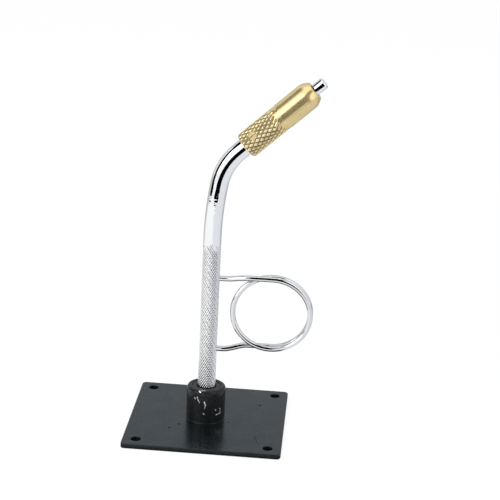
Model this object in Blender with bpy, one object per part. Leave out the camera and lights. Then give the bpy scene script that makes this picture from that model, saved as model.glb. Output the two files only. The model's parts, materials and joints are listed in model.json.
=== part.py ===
"""Rotary fly-tying vise, in metres with +Z up.

A square base plate carries a socket. A bent stem stands in the socket and carries a wire finger ring.
A sprung brass head turns on the end of the stem and holds a hook in the notch of its jaw pin.
The origin is on the stem's axis, on the underside of the base plate.
"""

import math

import bmesh
import bpy
from mathutils import Matrix, Vector

MM = 0.001

# Gaps that the fits share
FIT_GAP = 0.3 * MM
TURN_GAP = 0.45 * MM

# Base plate
PLATE_WIDTH = 70.0 * MM
PLATE_THICKNESS = 2.2 * MM
PLATE_CORNER_RADIUS = 2.0 * MM
PLATE_EDGE_ROUND = 0.3 * MM
PLATE_HOLE_DIAMETER = 4.4 * MM
PLATE_HOLE_INSET = 6.0 * MM

# Socket collar, staked into the plate a little to one side of its middle
COLLAR_DIAMETER = 17.6 * MM
COLLAR_HEIGHT = 15.4 * MM
COLLAR_TOP_ROUND = 1.2 * MM
SPIGOT_DIAMETER = 10.0 * MM
SOCKET_FLOOR_THICKNESS = 1.1 * MM
SOCKET_OFF_CENTRE = 1.3 * MM

# Socket bush, held in the collar by a snap rib
BUSH_WALL = 2.0 * MM
BUSH_LEAD_IN = 0.4 * MM
BUSH_RECESS = 0.2 * MM
SNAP_RIB_HEIGHT = 0.5 * MM
SNAP_RIB_WIDTH = 1.6 * MM

# Stem
STEM_DIAMETER = 8.0 * MM
STEM_ABOVE_COLLAR = 69.1 * MM
STEM_FOOT_CHAMFER = 0.6 * MM
SLOW_BEND_RADIUS = 152.8 * MM
SLOW_BEND_ANGLE = math.radians(9.6)
TIGHT_BEND_RADIUS = 25.6 * MM
TIGHT_BEND_ANGLE = math.radians(37.6)

# Finger ring
WIRE_DIAMETER = 2.5 * MM
RING_HALF_WIDTH = 17.3 * MM
RING_HALF_HEIGHT = 16.6 * MM
RING_TURNS = 1.5
RING_OFF_STEM = 5.1 * MM
RING_RISE = 1.7 * MM
LEG_BELOW_BEND = 17.9 * MM
LEG_DEPTH = 6.2 * MM

# Head
SLEEVE_DIAMETER = 12.0 * MM
SLEEVE_LENGTH = 38.2 * MM
SLEEVE_REAR_CHAMFER = 0.6 * MM
KNURL_LENGTH = 17.0 * MM
KNURL_DEPTH = 0.45 * MM
KNURL_RUN_OUT = 0.4 * MM
RELIEF_LENGTH = 3.8 * MM
RELIEF_DEPTH = 0.25 * MM
NOSE_TAPER_LENGTH = 4.5 * MM
NOSE_FACE_DIAMETER = 8.2 * MM
NOSE_WALL = 5.0 * MM
DRAW_TRAVEL = 3.5 * MM
BEND_CLEARANCE = 0.5 * MM

# Stop screw and the groove of the stem that it rides in
SCREW_DIAMETER = 3.8 * MM
SCREW_TIP_DIAMETER = 2.4 * MM
SCREW_FROM_REAR = 6.0 * MM
SCREW_SLOT_WIDTH = 0.6 * MM
SCREW_SLOT_DEPTH = 0.5 * MM
SCREW_TURN = math.radians(24.0)
GROOVE_DEPTH = 0.8 * MM

# Jaw pin
PIN_DIAMETER = 5.0 * MM
PIN_REACH = 5.4 * MM
PIN_TIP_CHAMFER = 0.5 * MM
FLANGE_THICKNESS = 2.0 * MM
JOURNAL_DIAMETER = 3.5 * MM
JOURNAL_LENGTH = 6.0 * MM
BORE_END_WALL = 0.7 * MM
NOTCH_DEPTH = 1.9 * MM
NOTCH_MOUTH = 0.7 * MM
NOTCH_UNDERCUT = 0.4 * MM

# Thrust washer and return spring
WASHER_THICKNESS = 0.6 * MM
SPRING_WIRE = 0.8 * MM
SPRING_PITCH = 1.9 * MM

# Counts that set how finely round shapes are divided
ROUND_SIDES = 48
STEM_SIDES = 40
CORNER_STEPS = 6
SLOW_BEND_STEPS = 5
TIGHT_BEND_STEPS = 12
TAPER_STEPS = 5
KNURL_PEAKS = 19
KNURL_ROWS = 9
RING_POINTS_PER_TURN = 36
LEG_POINTS = 12
SPRING_POINTS_PER_TURN = 16

# Radii of the round pieces
STEM_RADIUS = STEM_DIAMETER / 2
COLLAR_RADIUS = COLLAR_DIAMETER / 2
BUSH_BORE_RADIUS = STEM_RADIUS + FIT_GAP
BUSH_RADIUS = BUSH_BORE_RADIUS + BUSH_WALL
SNAP_RIB_RADIUS = BUSH_RADIUS + SNAP_RIB_HEIGHT
SPIGOT_RADIUS = SPIGOT_DIAMETER / 2
SLEEVE_RADIUS = SLEEVE_DIAMETER / 2
SLEEVE_BORE_RADIUS = STEM_RADIUS + FIT_GAP
FLANGE_RADIUS = SLEEVE_BORE_RADIUS - FIT_GAP
PIN_RADIUS = PIN_DIAMETER / 2
JOURNAL_RADIUS = JOURNAL_DIAMETER / 2
SCREW_RADIUS = SCREW_DIAMETER / 2
SCREW_TIP_RADIUS = SCREW_TIP_DIAMETER / 2
WIRE_RADIUS = WIRE_DIAMETER / 2

# Levels up the stem
COLLAR_FOOT = PLATE_THICKNESS + FIT_GAP
COLLAR_TOP = COLLAR_FOOT + COLLAR_HEIGHT
SOCKET_FLOOR = COLLAR_FOOT + SOCKET_FLOOR_THICKNESS
BUSH_FOOT = SOCKET_FLOOR + FIT_GAP
BUSH_TOP = COLLAR_TOP - BUSH_RECESS
SNAP_RIB_LEVEL = (BUSH_FOOT + BUSH_TOP) / 2
STEM_FOOT = SOCKET_FLOOR + FIT_GAP
BEND_START = COLLAR_TOP + STEM_ABOVE_COLLAR
UPPER_LEG = BEND_START - LEG_BELOW_BEND
LOWER_LEG = UPPER_LEG - 2 * RING_HALF_HEIGHT
BEND_ANGLE = SLOW_BEND_ANGLE + TIGHT_BEND_ANGLE

# Places along the head's axis, counted from the end of the bend
SLEEVE_REAR = DRAW_TRAVEL + BEND_CLEARANCE
KNURL_START = SLEEVE_REAR + SLEEVE_REAR_CHAMFER
KNURL_END = SLEEVE_REAR + KNURL_LENGTH
RELIEF_END = KNURL_END + RELIEF_LENGTH
NOSE_FACE = SLEEVE_REAR + SLEEVE_LENGTH
NOSE_START = NOSE_FACE - NOSE_TAPER_LENGTH
NOSE_SHOULDER = NOSE_FACE - NOSE_WALL
PIN_TIP = NOSE_FACE + PIN_REACH
SCREW_PLACE = SLEEVE_REAR + SCREW_FROM_REAR
GROOVE_FRONT = SCREW_PLACE + SCREW_TIP_RADIUS + FIT_GAP
GROOVE_REAR = SCREW_PLACE - DRAW_TRAVEL - SCREW_TIP_RADIUS - FIT_GAP
JOURNAL_END = GROOVE_FRONT + BORE_END_WALL + FIT_GAP
STEM_END = JOURNAL_END + JOURNAL_LENGTH
WASHER_REAR = STEM_END + FIT_GAP
FLANGE_REAR = WASHER_REAR + WASHER_THICKNESS + FIT_GAP
FLANGE_FRONT = FLANGE_REAR + FLANGE_THICKNESS
SPRING_REAR = FLANGE_FRONT + FIT_GAP
SPRING_FRONT = NOSE_SHOULDER - FIT_GAP
SPRING_RADIUS = (PIN_RADIUS + SLEEVE_BORE_RADIUS) / 2

# Colour, metallic share and roughness of each finish
BLACK_PAINT = ((0.012, 0.012, 0.013), 0.0, 0.32)
BLACK_NYLON = ((0.016, 0.016, 0.017), 0.0, 0.5)
CHROME = ((0.80, 0.81, 0.83), 1.0, 0.08)
SPRING_STEEL = ((0.45, 0.45, 0.46), 1.0, 0.3)
BRASS = ((0.72, 0.58, 0.30), 1.0, 0.2)
BRONZE = ((0.55, 0.38, 0.19), 1.0, 0.35)


def clear_scene():
    for item in list(bpy.data.objects):
        bpy.data.objects.remove(item, do_unlink=True)


def make_finish(name, colour, metallic, roughness):
    finish = bpy.data.materials.new(name)
    finish.use_nodes = True
    shader = finish.node_tree.nodes["Principled BSDF"]
    shader.inputs["Base Color"].default_value = (*colour, 1.0)
    shader.inputs["Metallic"].default_value = metallic
    shader.inputs["Roughness"].default_value = roughness
    return finish


def add_piece(name, shape, finish, parent=None):
    """Named object for one piece, with a material of its own."""
    piece = bpy.data.objects.new(name, shape)
    shape.name = name
    shape.materials.append(make_finish(name + "_finish", *finish))
    bpy.context.scene.collection.objects.link(piece)
    piece.parent = parent
    return piece


def add_axis(name, place, turn=0.0, parent=None):
    """Empty whose Z axis is the axis that its pieces turn about or slide along."""
    axis = bpy.data.objects.new(name, None)
    bpy.context.scene.collection.objects.link(axis)
    axis.location = place
    axis.rotation_euler = (0.0, turn, 0.0)
    axis.parent = parent
    return axis


def cut(piece, name, shape):
    """Takes a shape, given in the piece's own coordinates, out of a piece."""
    cutter = bpy.data.objects.new(name, shape)
    bpy.context.scene.collection.objects.link(cutter)
    cutter.parent = piece
    cutter.hide_render = True
    cutter.display_type = "WIRE"
    boolean = piece.modifiers.new(name, "BOOLEAN")
    boolean.operation = "DIFFERENCE"
    boolean.solver = "EXACT"
    boolean.object = cutter


def finish_mesh(body, name):
    bmesh.ops.recalc_face_normals(body, faces=body.faces)
    mesh = bpy.data.meshes.new(name)
    body.to_mesh(mesh)
    body.free()
    mesh.shade_smooth()
    mesh.set_sharp_from_angle(angle=math.radians(32.0))
    return mesh


def skin(body, rings, closed=False, diamond_steps=()):
    """Joins rings of points: capped at both ends, or joined from the last ring back to the first.

    A diamond step lies between two rings of peaks and lows, and is folded from low to low.
    """
    loops = [[body.verts.new(point) for point in ring] for ring in rings]
    steps = list(zip(loops, loops[1:]))
    if closed:
        steps.append((loops[-1], loops[0]))
    else:
        body.faces.new(loops[0])
        body.faces.new(loops[-1])
    for step, (near, far) in enumerate(steps):
        for side, corner in enumerate(near):
            after = (side + 1) % len(near)
            if step not in diamond_steps:
                body.faces.new((corner, near[after], far[after], far[side]))
            elif (step - diamond_steps[0] + side) % 2 == 0:
                body.faces.new((corner, near[after], far[side]))
                body.faces.new((near[after], far[after], far[side]))
            else:
                body.faces.new((corner, near[after], far[after]))
                body.faces.new((corner, far[after], far[side]))


def circle(radius, height, sides):
    """Points of a circle round the Z axis."""
    angles = [2 * math.pi * side / sides for side in range(sides)]
    return [Vector((radius * math.cos(a), radius * math.sin(a), height)) for a in angles]


def turned(name, profile, sides=ROUND_SIDES, closed=False):
    """Solid turned about the Z axis from (radius, height) points."""
    body = bmesh.new()
    skin(body, [circle(radius, height, sides) for radius, height in profile], closed)
    return finish_mesh(body, name)


def rods(name, radius, ends):
    """Straight round bars, each between a pair of end points."""
    body = bmesh.new()
    for start, end in ends:
        along = end - start
        aim = along.to_track_quat("Z", "Y").to_matrix()
        rings = [
            [start + aim @ point for point in circle(radius, height, ROUND_SIDES // 2)]
            for height in (0.0, along.length)
        ]
        skin(body, rings)
    return finish_mesh(body, name)


def prism(name, outline, half_depth):
    """Outline in the XZ plane, thickened by half_depth to each side along Y."""
    body = bmesh.new()
    rings = [[Vector((x, y, z)) for x, z in outline] for y in (-half_depth, half_depth)]
    skin(body, rings)
    return finish_mesh(body, name)


def rounded_square(half, corner, height):
    """Points of a square with round corners, at a height."""
    points = []
    for quarter in range(4):
        turn = Matrix.Rotation(quarter * math.pi / 2, 3, "Z")
        for step in range(CORNER_STEPS + 1):
            angle = step / CORNER_STEPS * math.pi / 2
            x = half - corner + corner * math.cos(angle)
            y = half - corner + corner * math.sin(angle)
            points.append(turn @ Vector((x, y, height)))
    return points


def tube(name, points, radius, sides_step):
    """Round wire along a row of points, with filled ends."""
    wire = bpy.data.curves.new(name, "CURVE")
    wire.dimensions = "3D"
    wire.bevel_depth = radius
    wire.bevel_resolution = sides_step
    wire.use_fill_caps = True
    spline = wire.splines.new("POLY")
    spline.points.add(len(points) - 1)
    for knot, point in zip(spline.points, points):
        knot.co = (*point, 1.0)
    spline.use_smooth = True
    return wire


def least_gap(points, wire):
    """Smallest clear distance between stretches of a wire that aren't next to each other."""
    lengths = [0.0]
    for start, end in zip(points, points[1:]):
        lengths.append(lengths[-1] + (end - start).length)
    apart = [
        (second - first).length
        for low, first in enumerate(points)
        for high, second in enumerate(points)
        if lengths[high] - lengths[low] > 3 * wire
    ]
    return min(apart) - wire


def smooth_step(share):
    share = min(max(share, 0.0), 1.0)
    return share * share * (3 - 2 * share)


def bend_point(angle):
    """Point of the stem's bent centre line where it leans by an angle from the vertical."""
    slow = min(angle, SLOW_BEND_ANGLE)
    tight = max(angle, SLOW_BEND_ANGLE)
    x = SLOW_BEND_RADIUS * (1 - math.cos(slow))
    z = BEND_START + SLOW_BEND_RADIUS * math.sin(slow)
    x += TIGHT_BEND_RADIUS * (math.cos(SLOW_BEND_ANGLE) - math.cos(tight))
    z += TIGHT_BEND_RADIUS * (math.sin(tight) - math.sin(SLOW_BEND_ANGLE))
    return Vector((x, 0.0, z))


def stem_ring(centre, lean, radius):
    """Circle square to the stem's centre line, which leans towards +X."""
    turn = Matrix.Rotation(lean, 3, "Y")
    return [centre + turn @ point for point in circle(radius, 0.0, STEM_SIDES)]


def stem_shape():
    upright = [
        (STEM_FOOT, STEM_RADIUS - STEM_FOOT_CHAMFER),
        (STEM_FOOT + STEM_FOOT_CHAMFER, STEM_RADIUS),
    ]
    rings = [stem_ring(Vector((0.0, 0.0, level)), 0.0, radius) for level, radius in upright]
    slow = [SLOW_BEND_ANGLE * step / SLOW_BEND_STEPS for step in range(SLOW_BEND_STEPS)]
    tight = [
        SLOW_BEND_ANGLE + TIGHT_BEND_ANGLE * step / TIGHT_BEND_STEPS
        for step in range(TIGHT_BEND_STEPS + 1)
    ]
    rings += [stem_ring(bend_point(lean), lean, STEM_RADIUS) for lean in slow + tight]
    groove_radius = STEM_RADIUS - GROOVE_DEPTH
    bore_radius = JOURNAL_RADIUS + FIT_GAP
    turned_end = [
        (GROOVE_REAR, STEM_RADIUS),
        (GROOVE_REAR, groove_radius),
        (GROOVE_FRONT, groove_radius),
        (GROOVE_FRONT, STEM_RADIUS),
        (STEM_END, STEM_RADIUS),
        (STEM_END, bore_radius),
        (JOURNAL_END - FIT_GAP, bore_radius),
    ]
    along = Matrix.Rotation(BEND_ANGLE, 3, "Y") @ Vector((0.0, 0.0, 1.0))
    end = bend_point(BEND_ANGLE)
    rings += [stem_ring(end + along * place, BEND_ANGLE, radius) for place, radius in turned_end]
    body = bmesh.new()
    skin(body, rings)
    return finish_mesh(body, "stem")


def make_base_plate():
    half = PLATE_WIDTH / 2
    inner = half - PLATE_EDGE_ROUND
    inner_corner = PLATE_CORNER_RADIUS - PLATE_EDGE_ROUND
    body = bmesh.new()
    rings = [
        rounded_square(inner, inner_corner, 0.0),
        rounded_square(half, PLATE_CORNER_RADIUS, PLATE_EDGE_ROUND),
        rounded_square(half, PLATE_CORNER_RADIUS, PLATE_THICKNESS - PLATE_EDGE_ROUND),
        rounded_square(inner, inner_corner, PLATE_THICKNESS),
    ]
    skin(body, rings)
    plate = add_piece("base_plate", finish_mesh(body, "base_plate"), BLACK_PAINT)
    plate.location = (SOCKET_OFF_CENTRE, 0.0, 0.0)
    reach = half - PLATE_HOLE_INSET
    through = Vector((0.0, 0.0, 2 * PLATE_THICKNESS))
    start = Vector((0.0, 0.0, -PLATE_THICKNESS / 2))
    corners = [Vector((x, y, 0.0)) for x in (-reach, reach) for y in (-reach, reach)]
    holes = [(corner + start, corner + start + through) for corner in corners]
    cut(plate, "corner_holes", rods("corner_holes", PLATE_HOLE_DIAMETER / 2, holes))
    socket = start - plate.location
    cut(plate, "spigot_hole", rods("spigot_hole", SPIGOT_RADIUS + FIT_GAP, [(socket, socket + through)]))


def make_socket_collar():
    bore = BUSH_RADIUS + FIT_GAP
    groove = SNAP_RIB_RADIUS + FIT_GAP
    groove_half = SNAP_RIB_WIDTH / 2 + FIT_GAP
    round_steps = [step / CORNER_STEPS * math.pi / 2 for step in range(CORNER_STEPS + 1)]
    rim = COLLAR_RADIUS - COLLAR_TOP_ROUND
    shoulder = COLLAR_TOP - COLLAR_TOP_ROUND
    profile = [(SPIGOT_RADIUS, 0.0), (SPIGOT_RADIUS, COLLAR_FOOT), (COLLAR_RADIUS, COLLAR_FOOT)]
    profile += [
        (rim + COLLAR_TOP_ROUND * math.cos(a), shoulder + COLLAR_TOP_ROUND * math.sin(a))
        for a in round_steps
    ]
    profile += [
        (bore, COLLAR_TOP),
        (bore, SNAP_RIB_LEVEL + groove_half),
        (groove, SNAP_RIB_LEVEL + groove_half),
        (groove, SNAP_RIB_LEVEL - groove_half),
        (bore, SNAP_RIB_LEVEL - groove_half),
        (bore, SOCKET_FLOOR),
    ]
    add_piece("socket_collar", turned("socket_collar", profile), BLACK_PAINT)


def make_socket_bush(stem_axis):
    rib_half = SNAP_RIB_WIDTH / 2
    profile = [
        (BUSH_BORE_RADIUS, BUSH_FOOT),
        (BUSH_RADIUS, BUSH_FOOT),
        (BUSH_RADIUS, SNAP_RIB_LEVEL - rib_half),
        (SNAP_RIB_RADIUS, SNAP_RIB_LEVEL - rib_half),
        (SNAP_RIB_RADIUS, SNAP_RIB_LEVEL + rib_half),
        (BUSH_RADIUS, SNAP_RIB_LEVEL + rib_half),
        (BUSH_RADIUS, BUSH_TOP),
        (BUSH_BORE_RADIUS + BUSH_LEAD_IN, BUSH_TOP),
        (BUSH_BORE_RADIUS, BUSH_TOP - BUSH_LEAD_IN),
    ]
    add_piece("socket_bush", turned("socket_bush", profile, closed=True), BLACK_NYLON, stem_axis)


def make_stem(stem_axis):
    stem = add_piece("stem", stem_shape(), CHROME, stem_axis)
    deepest = STEM_RADIUS - LEG_DEPTH - FIT_GAP
    holes = [
        (Vector((deepest, 0.0, level)), Vector((STEM_DIAMETER, 0.0, level)))
        for level in (LOWER_LEG, UPPER_LEG)
    ]
    cut(stem, "leg_holes", rods("leg_holes", WIRE_RADIUS + FIT_GAP, holes))


def ring_path():
    """Centre line of the finger ring: upper leg, turns that step back along +Y, lower leg."""
    pitch = WIRE_DIAMETER + TURN_GAP
    half_depth = RING_TURNS * pitch / 2
    centre_x = STEM_RADIUS + RING_OFF_STEM + WIRE_RADIUS + RING_HALF_WIDTH
    centre_z = (LOWER_LEG + UPPER_LEG) / 2 + RING_RISE
    leg_end = STEM_RADIUS - LEG_DEPTH
    straight_end = STEM_RADIUS + WIRE_DIAMETER
    dropped = 1 - pitch / RING_HALF_HEIGHT
    swing_start = centre_x - RING_HALF_WIDTH * math.sqrt(1 - dropped * dropped)
    upper, lower = [], []
    for step in range(LEG_POINTS):
        x = leg_end + (centre_x - leg_end) * step / LEG_POINTS
        swing = smooth_step((x - straight_end) / (swing_start - straight_end))
        rise = RING_RISE * swing
        upper.append(Vector((x, -half_depth * swing, UPPER_LEG + rise)))
        lower.append(Vector((x, half_depth * swing, LOWER_LEG + rise)))
    turn_points = round(RING_TURNS * RING_POINTS_PER_TURN)
    turns = []
    for step in range(turn_points + 1):
        share = step / turn_points
        angle = 2 * math.pi * RING_TURNS * share
        x = centre_x + RING_HALF_WIDTH * math.sin(angle)
        z = centre_z + RING_HALF_HEIGHT * math.cos(angle)
        turns.append(Vector((x, half_depth * (2 * share - 1), z)))
    return upper + turns + lower[::-1]


def make_finger_ring(stem_axis):
    path = ring_path()
    print(f"finger_ring least gap to itself: {least_gap(path, WIRE_DIAMETER) / MM:.2f} mm")
    add_piece("finger_ring", tube("finger_ring", path, WIRE_RADIUS, 3), CHROME, stem_axis)


def make_jaw_pin(head_axis):
    profile = [
        (JOURNAL_RADIUS, JOURNAL_END),
        (JOURNAL_RADIUS, FLANGE_REAR),
        (FLANGE_RADIUS, FLANGE_REAR),
        (FLANGE_RADIUS, FLANGE_FRONT),
        (PIN_RADIUS, FLANGE_FRONT),
        (PIN_RADIUS, PIN_TIP - PIN_TIP_CHAMFER),
        (PIN_RADIUS - PIN_TIP_CHAMFER, PIN_TIP),
    ]
    pin = add_piece("jaw_pin", turned("jaw_pin", profile, STEM_SIDES), CHROME, head_axis)
    floor = NOTCH_DEPTH - PIN_RADIUS
    outside = -PIN_DIAMETER
    front = NOSE_FACE + NOTCH_MOUTH
    rear = NOSE_FACE - DRAW_TRAVEL
    outline = [
        (outside, rear - NOTCH_DEPTH),
        (floor, rear),
        (floor, front),
        (outside, front - NOTCH_UNDERCUT),
    ]
    cut(pin, "hook_notch", prism("hook_notch", outline, PIN_DIAMETER))


def make_thrust_washer(head_axis):
    bore = JOURNAL_RADIUS + FIT_GAP
    front = WASHER_REAR + WASHER_THICKNESS
    profile = [(bore, WASHER_REAR), (STEM_RADIUS, WASHER_REAR), (STEM_RADIUS, front), (bore, front)]
    shape = turned("thrust_washer", profile, STEM_SIDES, closed=True)
    add_piece("thrust_washer", shape, BRONZE, head_axis)


def spring_path():
    """Centre line of the spring, with its end turns wound close."""
    start = SPRING_REAR + SPRING_WIRE / 2
    end = SPRING_FRONT - SPRING_WIRE / 2
    close_pitch = SPRING_WIRE + TURN_GAP
    open_length = end - start - 2 * close_pitch
    open_turns = open_length / SPRING_PITCH
    turns = open_turns + 2
    count = round(turns * SPRING_POINTS_PER_TURN)
    points = []
    for step in range(count + 1):
        turn = turns * step / count
        height = start + close_pitch * min(turn, 1.0)
        height += SPRING_PITCH * min(max(turn - 1.0, 0.0), open_turns)
        height += close_pitch * max(turn - 1.0 - open_turns, 0.0)
        angle = 2 * math.pi * turn
        x = SPRING_RADIUS * math.cos(angle)
        y = SPRING_RADIUS * math.sin(angle)
        points.append(Vector((x, y, height)))
    return points


def make_return_spring(head_axis):
    path = spring_path()
    print(f"return_spring least gap to itself: {least_gap(path, SPRING_WIRE) / MM:.2f} mm")
    add_piece("return_spring", tube("return_spring", path, SPRING_WIRE / 2, 1), SPRING_STEEL, head_axis)


def knurl_ring(row, sides):
    """Ring of peaks and lows. Each row is staggered against the one before it."""
    height = KNURL_START + (KNURL_END - KNURL_START) * row / KNURL_ROWS
    peaks = circle(SLEEVE_RADIUS, height, sides)
    lows = circle(SLEEVE_RADIUS - KNURL_DEPTH, height, sides)
    return [peaks[side] if (row + side) % 2 == 0 else lows[side] for side in range(sides)]


def sleeve_shape():
    sides = 2 * KNURL_PEAKS
    face_radius = NOSE_FACE_DIAMETER / 2
    relief_radius = SLEEVE_RADIUS - RELIEF_DEPTH
    pin_bore = PIN_RADIUS + FIT_GAP
    rear = [
        (SLEEVE_BORE_RADIUS, SLEEVE_REAR),
        (SLEEVE_RADIUS - KNURL_DEPTH - SLEEVE_REAR_CHAMFER / 2, SLEEVE_REAR),
    ]
    front = [
        (relief_radius, KNURL_END + KNURL_RUN_OUT),
        (relief_radius, RELIEF_END - RELIEF_DEPTH),
        (SLEEVE_RADIUS, RELIEF_END),
    ]
    for step in range(TAPER_STEPS + 1):
        share = step / TAPER_STEPS
        radius = SLEEVE_RADIUS - (SLEEVE_RADIUS - face_radius) * share * share
        front.append((radius, NOSE_START + NOSE_TAPER_LENGTH * share))
    front += [
        (pin_bore, NOSE_FACE),
        (pin_bore, NOSE_SHOULDER),
        (SLEEVE_BORE_RADIUS, NOSE_SHOULDER),
    ]
    rings = [circle(radius, height, sides) for radius, height in rear]
    rings += [knurl_ring(row, sides) for row in range(KNURL_ROWS + 1)]
    rings += [circle(radius, height, sides) for radius, height in front]
    body = bmesh.new()
    skin(body, rings, closed=True, diamond_steps=range(len(rear), len(rear) + KNURL_ROWS))
    return finish_mesh(body, "jaw_sleeve")


def make_jaw_sleeve(head_axis):
    sleeve = add_piece("jaw_sleeve", sleeve_shape(), BRASS, head_axis)
    outward = Vector((-math.sin(SCREW_TURN), -math.cos(SCREW_TURN), 0.0))
    middle = Vector((0.0, 0.0, SCREW_PLACE))
    hole = [(middle, middle + outward * SLEEVE_DIAMETER)]
    cut(sleeve, "screw_hole", rods("screw_hole", SCREW_RADIUS + FIT_GAP, hole))


def make_stop_screw(head_axis):
    tip = STEM_RADIUS - GROOVE_DEPTH + FIT_GAP
    head = SLEEVE_RADIUS - KNURL_DEPTH
    profile = [
        (SCREW_TIP_RADIUS, tip),
        (SCREW_TIP_RADIUS, SLEEVE_BORE_RADIUS),
        (SCREW_RADIUS, SLEEVE_BORE_RADIUS),
        (SCREW_RADIUS, head),
    ]
    screw = add_piece("stop_screw", turned("stop_screw", profile, STEM_SIDES // 2), BRASS, head_axis)
    screw.location = (0.0, 0.0, SCREW_PLACE)
    screw.rotation_euler = (math.pi / 2, 0.0, -SCREW_TURN)
    half_width = SCREW_SLOT_WIDTH / 2
    bottom = head - SCREW_SLOT_DEPTH
    top = head + SCREW_SLOT_DEPTH
    outline = [(-half_width, bottom), (half_width, bottom), (half_width, top), (-half_width, top)]
    cut(screw, "screw_slot", prism("screw_slot", outline, SCREW_DIAMETER))


def make_vise():
    make_base_plate()
    make_socket_collar()
    stem_axis = add_axis("stem_axis", (0.0, 0.0, 0.0))
    make_socket_bush(stem_axis)
    make_stem(stem_axis)
    make_finger_ring(stem_axis)
    head_axis = add_axis("head_axis", bend_point(BEND_ANGLE), BEND_ANGLE, stem_axis)
    make_jaw_pin(head_axis)
    make_thrust_washer(head_axis)
    make_return_spring(head_axis)
    make_jaw_sleeve(head_axis)
    make_stop_screw(head_axis)


clear_scene()
make_vise()
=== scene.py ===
"""Looks of the rotary fly-tying vise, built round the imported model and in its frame, in metres.

Each piece is a finely divided mesh that replaces its plain solid and rides on the same body.
Pieces of the head are built along their own Z axis and then laid on the head's axis.
"""

import json
import math

import bmesh
import bpy
import numpy as np
from mathutils import Matrix, Vector, noise


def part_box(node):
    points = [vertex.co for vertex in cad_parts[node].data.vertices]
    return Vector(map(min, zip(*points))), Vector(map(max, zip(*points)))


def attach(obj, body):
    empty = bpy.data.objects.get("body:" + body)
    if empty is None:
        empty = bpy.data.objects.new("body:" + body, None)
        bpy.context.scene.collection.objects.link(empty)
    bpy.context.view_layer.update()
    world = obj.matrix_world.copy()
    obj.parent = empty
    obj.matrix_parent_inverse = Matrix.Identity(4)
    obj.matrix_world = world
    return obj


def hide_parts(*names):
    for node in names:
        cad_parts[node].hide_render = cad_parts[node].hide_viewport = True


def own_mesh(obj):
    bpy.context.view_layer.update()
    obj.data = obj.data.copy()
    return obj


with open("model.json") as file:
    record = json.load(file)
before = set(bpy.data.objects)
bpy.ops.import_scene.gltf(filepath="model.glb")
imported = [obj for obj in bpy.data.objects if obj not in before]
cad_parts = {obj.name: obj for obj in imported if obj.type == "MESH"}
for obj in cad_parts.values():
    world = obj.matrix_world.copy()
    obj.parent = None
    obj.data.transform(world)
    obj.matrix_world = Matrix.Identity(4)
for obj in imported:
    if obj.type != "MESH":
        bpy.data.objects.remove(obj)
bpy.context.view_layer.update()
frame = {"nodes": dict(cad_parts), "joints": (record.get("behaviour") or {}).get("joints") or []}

MM = 0.001

# How finely the meshes are made, and which edges stay sharp, in degrees
SHARP_ANGLE = 40.0
PAINT_SHARP_ANGLE = 60.0
KNURL_SHARP_ANGLE = 75.0
OUTLINE_WELD = 0.001 * MM
CUT_WELD = 0.004 * MM
EDGE_EASE = 0.1 * MM
EASE_REACH = 0.38
EASE_LEAD = 1.25
WIRE_END_EASE = 0.2
CAP_SHARE = 0.2
TURNED_SIDES = 96
BAR_SIDES = 72

# Base plate
PLATE_CORNER = 2.0 * MM
PLATE_CORNER_POINTS = 13
PLATE_EDGE_ROUND = 0.3 * MM
PLATE_EDGE_STEPS = 3
PLATE_HOLE_RADIUS = 2.2 * MM
PLATE_HOLE_INSET = 6.0 * MM
PLATE_HOLE_POINTS = 64

# Marks in the plate's paint, in mm from its middle: pits (x, y, radius) and a scratch's two ends
PLATE_PITS = (
    (-12.1, -10.6, 0.9), (9.6, -5.2, 0.7), (22.7, 16.4, 0.9), (-16.0, -15.0, 0.8), (4.5, -27.5, 0.6),
)
PLATE_SCRATCH = ((22.1, -16.0), (24.8, -27.0))
SCRATCH_WIDTH = 0.3 * MM

# Socket
SPIGOT_RADIUS = 5.0 * MM
SPIGOT_SEAM = 0.1 * MM
COLLAR_SIDES = 220
COLLAR_TOP_ROUND = 1.2 * MM
COLLAR_TOP_ROWS = 10
COLLAR_FACE_ROWS = 6
COLLAR_FOOT_FLARE = 0.12 * MM
COLLAR_ROW = 0.25 * MM
COLLAR_BORE_EASE = 0.15 * MM
SOCKET_FLOOR_ABOVE_PLATE = 1.4 * MM
BUSH_SIDES = 128
BUSH_WALL = 2.0 * MM
BUSH_LEAD_IN = 0.4 * MM
SNAP_RIB_HEIGHT = 0.5 * MM
SNAP_RIB_WIDTH = 1.6 * MM
SOCKET_SEAM = 0.15 * MM

# Lumps in the collar's thick paint: (degrees round from the front, mm up along the wall)
PAINT_RUN_HEIGHT = 0.22 * MM
PAINT_RUN_WIDTH = 0.38 * MM
PAINT_WRINKLE = 0.05 * MM
PAINT_WRINKLE_SIZE = 2.6 * MM
PAINT_RUNS = (
    ((-13, 18.5), (-6, 18.4)), ((-3, 18.6), (2, 18.6)),
    ((-18, 18.0), (-11, 17.4)), ((-30, 14.3), (-27, 13.9)),
    ((-21, 14.9), (-19, 13.8), (-14, 12.5)),
    ((0, 13.2), (4, 11.0), (2, 9.8)),
    ((-2, 7.5), (5, 6.3)), ((35, 8.9), (37, 8.5)),
    ((51, 8.9), (54, 6.7), (38, 6.4)),
    ((128, 13.1), (133, 11.2), (131, 9.0)),
    ((-104, 10.6), (-98, 9.3), (-95, 7.0)),
    ((-160, 15.0), (-152, 14.4)),
)

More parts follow.
